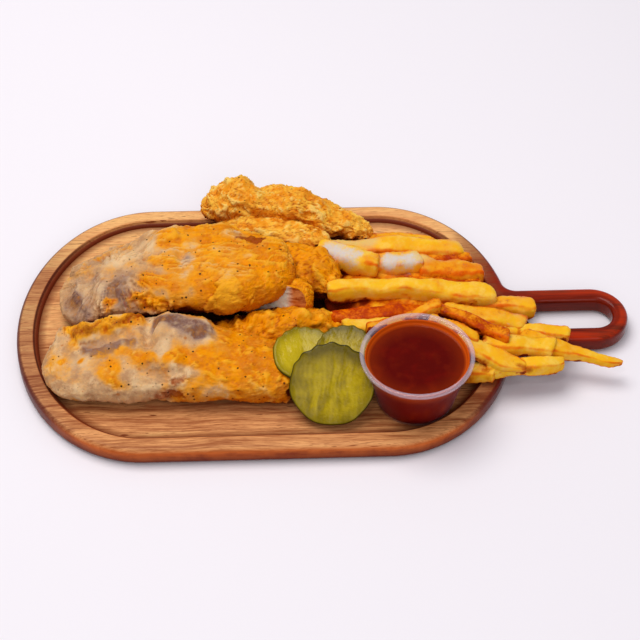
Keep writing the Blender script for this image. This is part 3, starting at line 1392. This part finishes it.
def finger_mesh(name, seed):
    """A finger with its fine crust and its painted tones."""
    spec = FINGERS[name]
    mesh, points, open_end = lofted(name + "_crust", spec, seed)
    move_points(mesh, points * MM)
    normal = normals_of(mesh)
    edge = warped(points, 7, 3.0, seed + 20)
    laid = {tone: strokes(edge, spec.get(tone, [])) for tone in STROKED}
    start, end, low, high = spec.get("ramp", ALL_GOLD)
    mottle = 0.9 * waves(points, 16, seed + 30) + 0.7 * waves(points, 7, seed + 31)
    gold = low + (high - low) * soft_step(start, end, edge[:, 0]) + mottle * 0.35
    gold = np.clip(gold + laid["gold"], 0, 1)
    height, size = spec["small"]
    rise, crease = crumb(points, seed, height, size, spec.get("grain", (0, 0, 0)))
    nuggets = np.abs(waves(edge, 4.2, seed + 40)) * 3.4 + np.abs(waves(points, 1.9, seed + 41)) * 1.6 - 0.7
    lines = shadow = np.zeros(len(points))
    if spec["slot"] == "pale_crust":
        rough = soft_step(0.3, 1.0, gold)
        rise = rise * (0.5 + 0.5 * rough) + folds(points, seed) * (1 - 0.75 * rough)
        crease = crease * rough * 0.6
    if "fan" in spec:
        lines = wrinkles(points, seed) * soft_step(-74, -50, points[:, 0]) * soft_step(10, 22, points[:, 2])
        lines *= soft_step(-4, 8, points[:, 1])
        shadow = fan(points, spec["fan"], seed)
        rise += 1.3 * lines - 1.8 * shadow
        gold = np.clip(gold - 0.22 * lines, 0, 1)
    rise += laid["crags"] * nuggets * 1.3
    crease += soft_step(0.5, 1.0, laid["crags"]) * soft_step(0.3, -0.5, nuggets)
    lobes, lobe_edges = flaps(points, spec.get("flaps", []), seed)
    rise += lobes
    crease += lobe_edges
    rise += laid["toast"] * 0.9 * waves(points, 2.6, seed + 60)
    crest = 0.5 + 0.27 * (rise - rise.mean()) / rise.std() + 0.5 * lines - 0.65 * shadow
    points = points + normal * (rise * open_end)[:, None]
    beyond = np.zeros(len(points))
    if "bite" in spec:
        points, beyond = bitten(points, spec["bite"])
    points[:, 2] = soft_ceiling(SIT + soft_floor(points[:, 2] - SIT))
    move_points(mesh, points * MM)
    meat = soft_step(0.5, 1.3, beyond)
    paint(mesh, "gold", gold)
    paint(mesh, "under", soft_step(0.6, -0.1, normal[:, 2]))
    paint(mesh, "mauve", laid["mauve"] * (0.9 + 0.5 * waves(points, 6, seed + 70)))
    paint(mesh, "cream", laid["cream"])
    paint(mesh, "toast", laid["toast"])
    paint(mesh, "crease", crease * (1 - meat))
    paint(mesh, "crest", crest)
    paint(mesh, "meat", meat)
    return mesh


def fried_crust(name, look, tones, contrast, pepper_share):
    """Fried batter: floury, grey, cream, gold and toasted parts, brown spots, creases and pepper."""
    gold, deep, bright = (getattr(look, tone) for tone in tones)
    made = Finish(name)
    golden, sunk, bitten_off = (made.mask(mask) for mask in ("gold", "deep", "meat"))
    small, medium, broad = made.noise(1.5, 3.0, 0.6), made.noise(4.5, 3.0, 0.55), made.noise(12, 2.0)
    tiny, mid, wide = small - 0.5, medium - 0.5, broad - 0.5
    grain = small * 0.2 + medium * 0.4 + broad * 0.4
    mauve = made.mask("mauve") + wide * 0.7 + mid * 0.9
    pale = made.coated(
        look.dark_batter,
        (grain.step(0.38, 0.56), look.batter),
        ((grain.step(0.5, 0.66) * 0.5 + made.mask("cream")).step(0.0, 1.0), look.cream),
        (mauve.step(0.1, 0.9) * 0.9, look.grey),
        ((mauve + tiny * 0.5).step(0.5, 1.25) * 0.95, look.mauve),
    )
    fried = made.mix((medium * 0.7 + broad * 0.6).step(0.5, 0.8), deep, gold)
    share = golden + mid + tiny * 0.4 + wide * 0.6
    is_gold = share.step(0.1, 0.9)
    crest = made.mask("crest") + tiny * 0.4
    low = made.mix(is_gold, look.dark_batter, look.dark_gold)
    high = made.mix(is_gold, look.cream, bright)
    toast = (made.mask("toast") + tiny * 0.8).step(0.25, 1.0)
    pepper = made.specks(3.4, 0.82, pepper_share) * (golden * 0.7 + 0.25)
    fibre = made.noise(made.stretched(7, 1.6, 1.6), 3.0, 0.6)
    x = made.add("ShaderNodeSeparateXYZ", {}, {0: made.place}, 0) * 1000
    meat = made.coated(
        look.meat,
        (fibre.step(0.35, 0.7), look.toast),
        ((x + fibre * 4).step(18.0, 12.0), look.white_meat),
    )
    bare = 0.95 - bitten_off * 0.8
    tint = made.coated(
        pale,
        (share.step(-0.05, 0.7), look.warm),
        (share.step(0.4, 1.1), fried),
        (crest.step(0.42, -0.05) * contrast, low),
        (crest.step(0.55, 1.05) * mauve.step(1.6, 0.5) * contrast, high),
        (made.mask("crease") * (0.5 + 0.9 * small) * contrast, look.crease),
        (toast * 0.85, look.toast),
        (made.specks(6.0, 1.5, 0.35) * 0.55, look.spot),
        (made.specks(3.1, 0.5, 0.3) * 0.5, look.crease),
        (pepper.step(0.1, 0.45) * 0.92, look.pepper),
        (bitten_off, meat),
        (made.mask("under") * is_gold * 0.55, look.dark_gold),
        (sunk.step(0.08, 0.42) * bare * (0.3 + is_gold * 0.08), look.crease),
        (sunk.step(0.3, 0.72) * bare, look.shade),
    )
    height = small * 0.4 + made.noise(0.7, 2.0) * 0.2 + medium * 0.6
    return made.surface(
        {
            "Base Color": tint,
            "Roughness": 0.46 - golden * 0.12 + tiny * 0.3,
            "Normal": made.bump(height, 0.9, 0.8),
            "Specular IOR Level": 0.25,
            "IOR": 1.2,
            "Subsurface Weight": 0.08,
            "Subsurface Radius": (0.003, 0.0012, 0.0006),
            "Subsurface Scale": 0.5,
        }
    )


class PLATTER_OT_chicken(bpy.types.Operator):
    """Builds the seven fried chicken fingers"""

    bl_idname = "platter.chicken"
    bl_label = "Chicken fingers"

    def execute(self, context):
        look = context.scene.platter_chicken
        tree = solids_tree()
        finishes = {slot: fried_crust(slot, look, *settings) for slot, settings in CRUSTS.items()}
        for seed, (name, spec) in enumerate(FINGERS.items()):
            mesh = finger_mesh(name, seed)
            paint_depth(mesh, tree)
            place("crisp_" + name, mesh, finishes[spec["slot"]], spec["slot"], name)
        return {"FINISHED"}


# ---------------------------------------------------------------- the fries

# start (x, y, z), end (x, y, z), width, height, sideways bow, how much the far end narrows, or flares
# where it is below nought, and how well done it is: 0 is yellow and 1 or more is dark orange
FRIES = {
    "back_long": ((34, 45, 19.5), (113, 44, 17), 13, 12, 1.0, 0.05, 0.35),
    "pale_oval": ((31, 40, 25), (64, 24.5, 25), 13, 12, 0.5, 0.1, 0.2),
    "white_patch": ((60, 29, 24), (88, 29, 24.5), 12, 10.5, -0.5, 0.0, 0.5),
    "mottled": ((86, 28, 22), (123, 23, 20), 14, 12, -1.5, 0.2, 0.6),
    "long_top": ((34, 7, 26), (128, 2, 22), 11, 11, 3.0, 0.05, 0.1),
    "tucked": ((100, 2, 18), (149, -2, 16.5), 9, 8.5, 0.5, -0.15, 0.45),
    "square_end": ((96, -10, 22), (142, -15.5, 17), 12, 11, 0.0, -0.05, 0.5),
    "diagonal": ((91, -12, 29.5), (131, -32, 25.5), 6.5, 6, 1.0, -0.25, 0.9),
    "rising": ((54, -26, 27), (96, -12, 31), 7.5, 6.5, -1.5, 0.1, 0.7),
    "under_long": ((36, -9, 20), (97, -7, 21), 10, 9, 0.0, 0.1, 1.5),
    "by_pickles": ((41, -18, 21), (84, -22, 23), 10, 9, 0.0, 0.1, 0.1),
    "round_end": ((116, -19, 18), (166, -22, 16), 9.5, 9, 0.5, 0.1, 0.3),
    "broad": ((116, -32, 21), (156, -35, 19.5), 12, 9, 0.0, 0.15, 0.25),
    "thin_tail": ((138, -27, 20), (193, -40, 12.5), 11, 8, -2.0, 0.75, 0.4),
    "pointed": ((101, -33, 26), (139, -49.5, 19.5), 13, 8, -1.0, 0.6, 0.3),
    "lowest": ((116, -44, 17), (160, -42, 17), 11, 9, -3.0, 0.5, 0.15),
    "by_cup": ((104, -45, 14), (123, -49, 17), 10, 9, 0.0, 0.1, 0.3),
    "over_cup": ((88, -20, 27), (114, -34, 26), 8, 7, 0.0, 0.1, 0.5),
    "floor_back": ((44, 56, 13), (100, 55, 13), 10, 10, 2.0, 0.1, 0.6),
    "floor_mid": ((60, 38, 15), (118, 39, 16.5), 10, 10, 0.0, 0.15, 0.9),
    "floor_right": ((70, 14, 18), (122, 16, 17.5), 10, 10, 1.0, 0.1, 1.0),
    "floor_front": ((104, -22, 14), (128, -34, 17), 9, 8, 0.0, 0.2, 0.8),
}
# Soft strokes of tone over the heap: start, end, radius and amount.
HEAP_TONES = {
    "white": [
        ((38, 35, 30), (49, 30, 30), 10.0, 0.95),
        ((70, 26, 29), (82, 26, 29), 9.0, 1.05),
    ],
    "pale": [
        ((34, 48, 25), (60, 48, 24), 9.0, 0.8),
        ((84, 30, 31), (90, 27, 30), 5.0, 0.8),
        ((107, 47, 22), (114, 47, 21), 7.0, 0.6),
        ((93, 30, 27), (104, 30, 27), 6.0, 0.4),
        ((140, 2, 21), (146, 1, 20), 6.0, 0.4),
        ((138, -12, 23), (142, -13, 20), 6.0, 0.5),
    ],
    "orange": [
        ((58, 44, 23), (60, 44, 23), 5.0, 0.7),
        ((58, 26, 30), (64, 28, 31), 6.0, 0.9),
        ((94, 9, 30), (97, 3, 30), 5.5, 0.7),
        ((90, 26, 26), (122, 22, 24), 6.0, 0.6),
        ((106, 1, 28), (127, 0, 24), 4.5, 0.5),
        ((100, -10, 28), (120, -14, 22), 5.0, 0.4),
    ],
    "burnt": [((135, -49, 21), (140, -52, 19), 5.0, 0.8)],
}
CORE = {
    "rings": 60,
    "sides": 64,
    "relief": (1.5, 15.0, 0.0, 7.0),
    "stations": [
        (34, 8, 12, 10, 4, 0),
        (52, 12, 14, 30, 7, 0),
        (76, 14, 15, 33, 8, 0),
        (100, 4, 15, 30, 7.5, 0),
        (118, -4, 14, 18, 5, 0),
    ],
}
FRY_RINGS = 76
FRY_SIDES = 40
# How the fries sway: the length of the waves, how far they reach and where the noise starts.
WOBBLE = (16.0, 1.8, 4)


def fry_mesh(name):
    """One fry: a rounded square stick with crisp raised edges, blistered faces and cut ends."""
    start, end, width, height, bow, narrow, done = FRIES[name]
    seed = start[0] + 2.0 * start[1]
    mesh, unit = ball("fry", FRY_RINGS, FRY_SIDES)
    share = 0.5 + 0.5 * np.clip(unit[:, 2], -1, 1)
    off_middle = np.abs(2 * share - 1)
    turn = np.arctan2(unit[:, 1], unit[:, 0])
    first, run = np.array(start, float), np.subtract(end, start).astype(float)
    heading = run / np.linalg.norm(run)
    side = np.cross((0.0, 0.0, 1.0), heading)
    side /= np.linalg.norm(side)
    up = np.cross(heading, side)
    full = np.clip(1 - off_middle**17.0, 0, 1) ** (1 / 4.0)
    swell = 1 + 0.10 * np.sin(5 * share + seed) + 0.05 * np.sin(11 * share + 2 * seed)
    size = full * (1 - narrow * share * share) * 0.55 * swell
    y, z = squared(np.cos(turn), 0.72) * width * size, squared(np.sin(turn), 0.72) * height * size
    twist = 0.45 * math.sin(start[0]) * (share - 0.5)
    y, z = y * np.cos(twist) - z * np.sin(twist), y * np.sin(twist) + z * np.cos(twist)
    centre = first + share[:, None] * run + np.outer(bow * 4 * share * (1 - share), side)
    shear = 0.3 * math.sin(seed) * y * soft_step(0.80, 1.0, off_middle)
    points = centre + np.outer(y, side) + np.outer(z, up) + np.outer(shear, heading)
    points = warped(points, *WOBBLE)
    move_points(mesh, points * MM)
    corner = np.abs(np.sin(2 * turn)) ** 2.2
    line = np.abs(np.sin(2 * turn + 0.5 * waves(points, 5, seed + 8))) ** 7
    rough = np.abs(waves(points, 2.8, seed))
    blister = np.abs(waves(points, 6.5, seed + 3))
    ruffle = waves(points, 7, seed + 5)
    face = 1 - corner
    rise = corner * (0.6 * rough + 0.45 * ruffle) - 0.3 * face + 0.55 * blister * face + 0.15 * rough
    points = points + normals_of(mesh) * (rise * full)[:, None]
    move_points(mesh, points * MM)
    rim = soft_step(0.88, 0.99, off_middle)
    under = soft_step(0.3, -0.5, normals_of(mesh)[:, 2])
    edge = line * (0.7 + 0.5 * ruffle + 0.4 * rough) + 0.25 * rim + 0.75 * under
    paint(mesh, "edge", edge + 0.9 * (done - 0.45) + 0.25 * waves(points * (0.5, 1, 1), 9, seed + 9))
    paint(mesh, "done", done + 0.4 * waves(points * (0.5, 1, 1), 9, seed + 7))
    return mesh


def core_mesh():
    """The low mass of potato that the loose fries lie on."""
    mesh, points, _ = lofted("fries_core", CORE, CORE_SEED)
    points[:, 2] = SIT + soft_floor(points[:, 2] - SIT)
    move_points(mesh, points * MM)
    paint(mesh, "edge", 0.4 + waves(points, 6, CORE_SEED))
    paint(mesh, "done", 0.9 + waves(points, 9, CORE_SEED))
    return mesh


def fried_potato(look):
    """Golden potato: yellow faces, crisp orange edges, pale bare ends and floury patches."""
    made = Finish("fried_potato")
    small, medium = made.noise(1.3, 3.0, 0.6), made.noise(4.5, 3.0, 0.6)
    tiny, mid = small - 0.5, medium - 0.5
    done, white, sunk = (made.mask(mask) for mask in ("done", "white", "deep"))
    edge = made.mask("edge") + made.mask("orange") * 0.7 + mid * 0.35 + tiny * 0.35
    pale = made.mask("pale") + white + mid * 0.6
    tint = made.coated(
        look.yellow,
        (made.noise(6, 3.0, 0.6).step(0.4, 0.7), look.light),
        ((done + mid * 0.9).step(0.0, 1.0), look.gold),
        (edge.step(0.0, 1.1), look.orange),
        ((done + mid * 1.4 + tiny * 0.6).step(0.65, 1.2), look.red),
        ((edge - 0.1 + tiny * 0.4).step(0.9, 1.5) * 0.6, look.crisp),
        (pale.step(0.0, 1.1) * 0.9, look.pale),
        ((white + mid * 1.3 + tiny).step(0.2, 1.1) * 0.9, look.white),
        ((made.mask("burnt") + tiny * 0.4).step(0.2, 0.9) * 0.85, look.brown),
        (made.specks(4.0, 0.5, 0.3) * 0.5, look.brown),
        (sunk.step(0.18, 0.5) * 0.75, look.orange),
        (sunk.step(0.3, 0.7) * 0.95, look.shade),
    )
    height = small * 0.5 + made.noise(0.6, 2.0) * 0.3 + medium * 0.3
    return made.surface(
        {
            "Base Color": tint,
            "Roughness": 0.4 + tiny * 0.3,
            "Normal": made.bump(height, 0.4, 0.6),
            "Specular IOR Level": 0.25,
            "IOR": 1.2,
            "Subsurface Weight": 0.18,
            "Subsurface Radius": (0.005, 0.0025, 0.0008),
            "Subsurface Scale": 0.5,
        }
    )


class PLATTER_OT_fries(bpy.types.Operator):
    """Builds the heap of fries"""

    bl_idname = "platter.fries"
    bl_label = "Fries"

    def execute(self, context):
        heap = joined("heap_of_fries", [core_mesh()] + [fry_mesh(name) for name in FRIES])
        points = points_of(heap) / MM
        for tone, table in HEAP_TONES.items():
            paint(heap, tone, strokes(warped(points, 6, 2.5, 5), table))
        paint_depth(heap, solids_tree())
        place("heap_of_fries", heap, fried_potato(context.scene.platter_fries), "fried_potato", "fries")
        return {"FINISHED"}


# ---------------------------------------------------------------- the stage

CAMERA_ELEVATION = 46.0
CAMERA_AZIMUTH = -1.9
CAMERA_DISTANCE = 1.0
CAMERA_TARGET = (0.0303, 0.0, 0.010)
CAMERA_LENS = 101.25
# Each light: its place and size in metres, its power as a share of the key light's, and its tone.
LIGHTS = {
    "key": ((-0.35, 0.30, 1.45), 1.1, 1.0, (1.0, 0.98, 0.96)),
    "glint": ((-0.12, -0.62, 1.15), 0.05, 0.06, (1.0, 1.0, 1.0)),
    "front": ((0.25, -1.2, 0.9), 0.8, 0.2, (1.0, 0.98, 0.97)),
}
LIT_POINT = (0.02, 0.0, 0.0)
SKY_TONE = (0.97, 0.95, 1.0, 1.0)
STAGE_REACH = 6.0
STAGE_Z = -0.0002


def add_area(name, at, size, power, tone):
    light = bpy.data.lights.new(name, "AREA")
    light.shape = "DISK"
    light.size = size
    light.energy = power
    light.color = tone
    obj = bpy.data.objects.new(name, light)
    bpy.context.scene.collection.objects.link(obj)
    obj.location = at
    obj.rotation_euler = (Vector(LIT_POINT) - Vector(at)).to_track_quat("-Z", "Y").to_euler()


def floor_finish(look):
    made = Finish("pale_floor")
    soft = made.noise(400, 1.0)
    tint = made.mix(soft.step(0.3, 0.7), look.floor, [0.985 * v for v in look.floor])
    return made.surface({"Base Color": tint, "Roughness": 0.9, "Specular IOR Level": 0.2})


class PLATTER_OT_stage(bpy.types.Operator):
    """Adds the pale floor, the soft light and the camera"""

    bl_idname = "platter.stage"
    bl_label = "Floor, light and camera"

    def execute(self, context):
        look = context.scene.platter_stage
        bm = bmesh.new()
        bmesh.ops.create_grid(bm, x_segments=1, y_segments=1, size=STAGE_REACH)
        bmesh.ops.translate(bm, vec=(0, 0, STAGE_Z), verts=bm.verts)
        floor = bpy.data.objects.new("pale_floor", new_mesh("pale_floor", bm))
        context.scene.collection.objects.link(floor)
        floor.data.materials.append(floor_finish(look))
        for name, (at, size, share, tone) in LIGHTS.items():
            add_area(name, at, size, look.key_power * share, tone)
        world = bpy.data.worlds.new("even_light")
        world.use_nodes = True
        sky = world.node_tree.nodes["Background"]
        sky.inputs["Color"].default_value = SKY_TONE
        sky.inputs["Strength"].default_value = look.sky
        context.scene.world = world
        self.add_camera(context.scene)
        context.scene.view_settings.view_transform = "Standard"
        return {"FINISHED"}

    def add_camera(self, scene):
        lens = bpy.data.cameras.new("camera")
        lens.lens = CAMERA_LENS
        lens.sensor_width = 36.0
        lens.clip_start = 0.01
        camera = bpy.data.objects.new("camera", lens)
        scene.collection.objects.link(camera)
        up, round_it = math.radians(CAMERA_ELEVATION), math.radians(CAMERA_AZIMUTH)
        back = Vector(
            (math.sin(round_it) * math.cos(up), -math.cos(round_it) * math.cos(up), math.sin(up))
        )
        camera.location = Vector(CAMERA_TARGET) + back * CAMERA_DISTANCE
        camera.rotation_euler = back.to_track_quat("Z", "Y").to_euler()
        scene.camera = camera


# ---------------------------------------------------------------- the panel and the run

LOOKS = {
    "platter_board": BoardLook,
    "platter_cup": CupLook,
    "platter_dip": DipLook,
    "platter_pickles": PickleLook,
    "platter_chicken": ChickenLook,
    "platter_fries": FriesLook,
    "platter_stage": StageLook,
}
OPERATORS = (
    PLATTER_OT_board,
    PLATTER_OT_cup,
    PLATTER_OT_dip,
    PLATTER_OT_pickles,
    PLATTER_OT_chicken,
    PLATTER_OT_fries,
    PLATTER_OT_stage,
)


class PLATTER_PT_panel(bpy.types.Panel):
    """Lists the pieces and what can be changed on each"""

    bl_label = "Platter"
    bl_idname = "PLATTER_PT_panel"
    bl_space_type = "VIEW_3D"
    bl_region_type = "UI"
    bl_category = "Platter"

    def draw(self, context):
        for (name, look), operator in zip(LOOKS.items(), OPERATORS):
            box = self.layout.box()
            box.operator(operator.bl_idname)
            for key in look.__annotations__:
                box.prop(getattr(context.scene, name), key)


def register():
    for made in (*LOOKS.values(), *OPERATORS, PLATTER_PT_panel):
        bpy.utils.register_class(made)
    for name, look in LOOKS.items():
        setattr(bpy.types.Scene, name, bpy.props.PointerProperty(type=look))


def unregister():
    for name in LOOKS:
        delattr(bpy.types.Scene, name)
    for made in (PLATTER_PT_panel, *reversed(OPERATORS), *reversed(LOOKS.values())):
        bpy.utils.unregister_class(made)


def main():
    register()
    for operator in OPERATORS:
        group, name = operator.bl_idname.split(".")
        getattr(getattr(bpy.ops, group), name)()


if __name__ == "__main__":
    main()
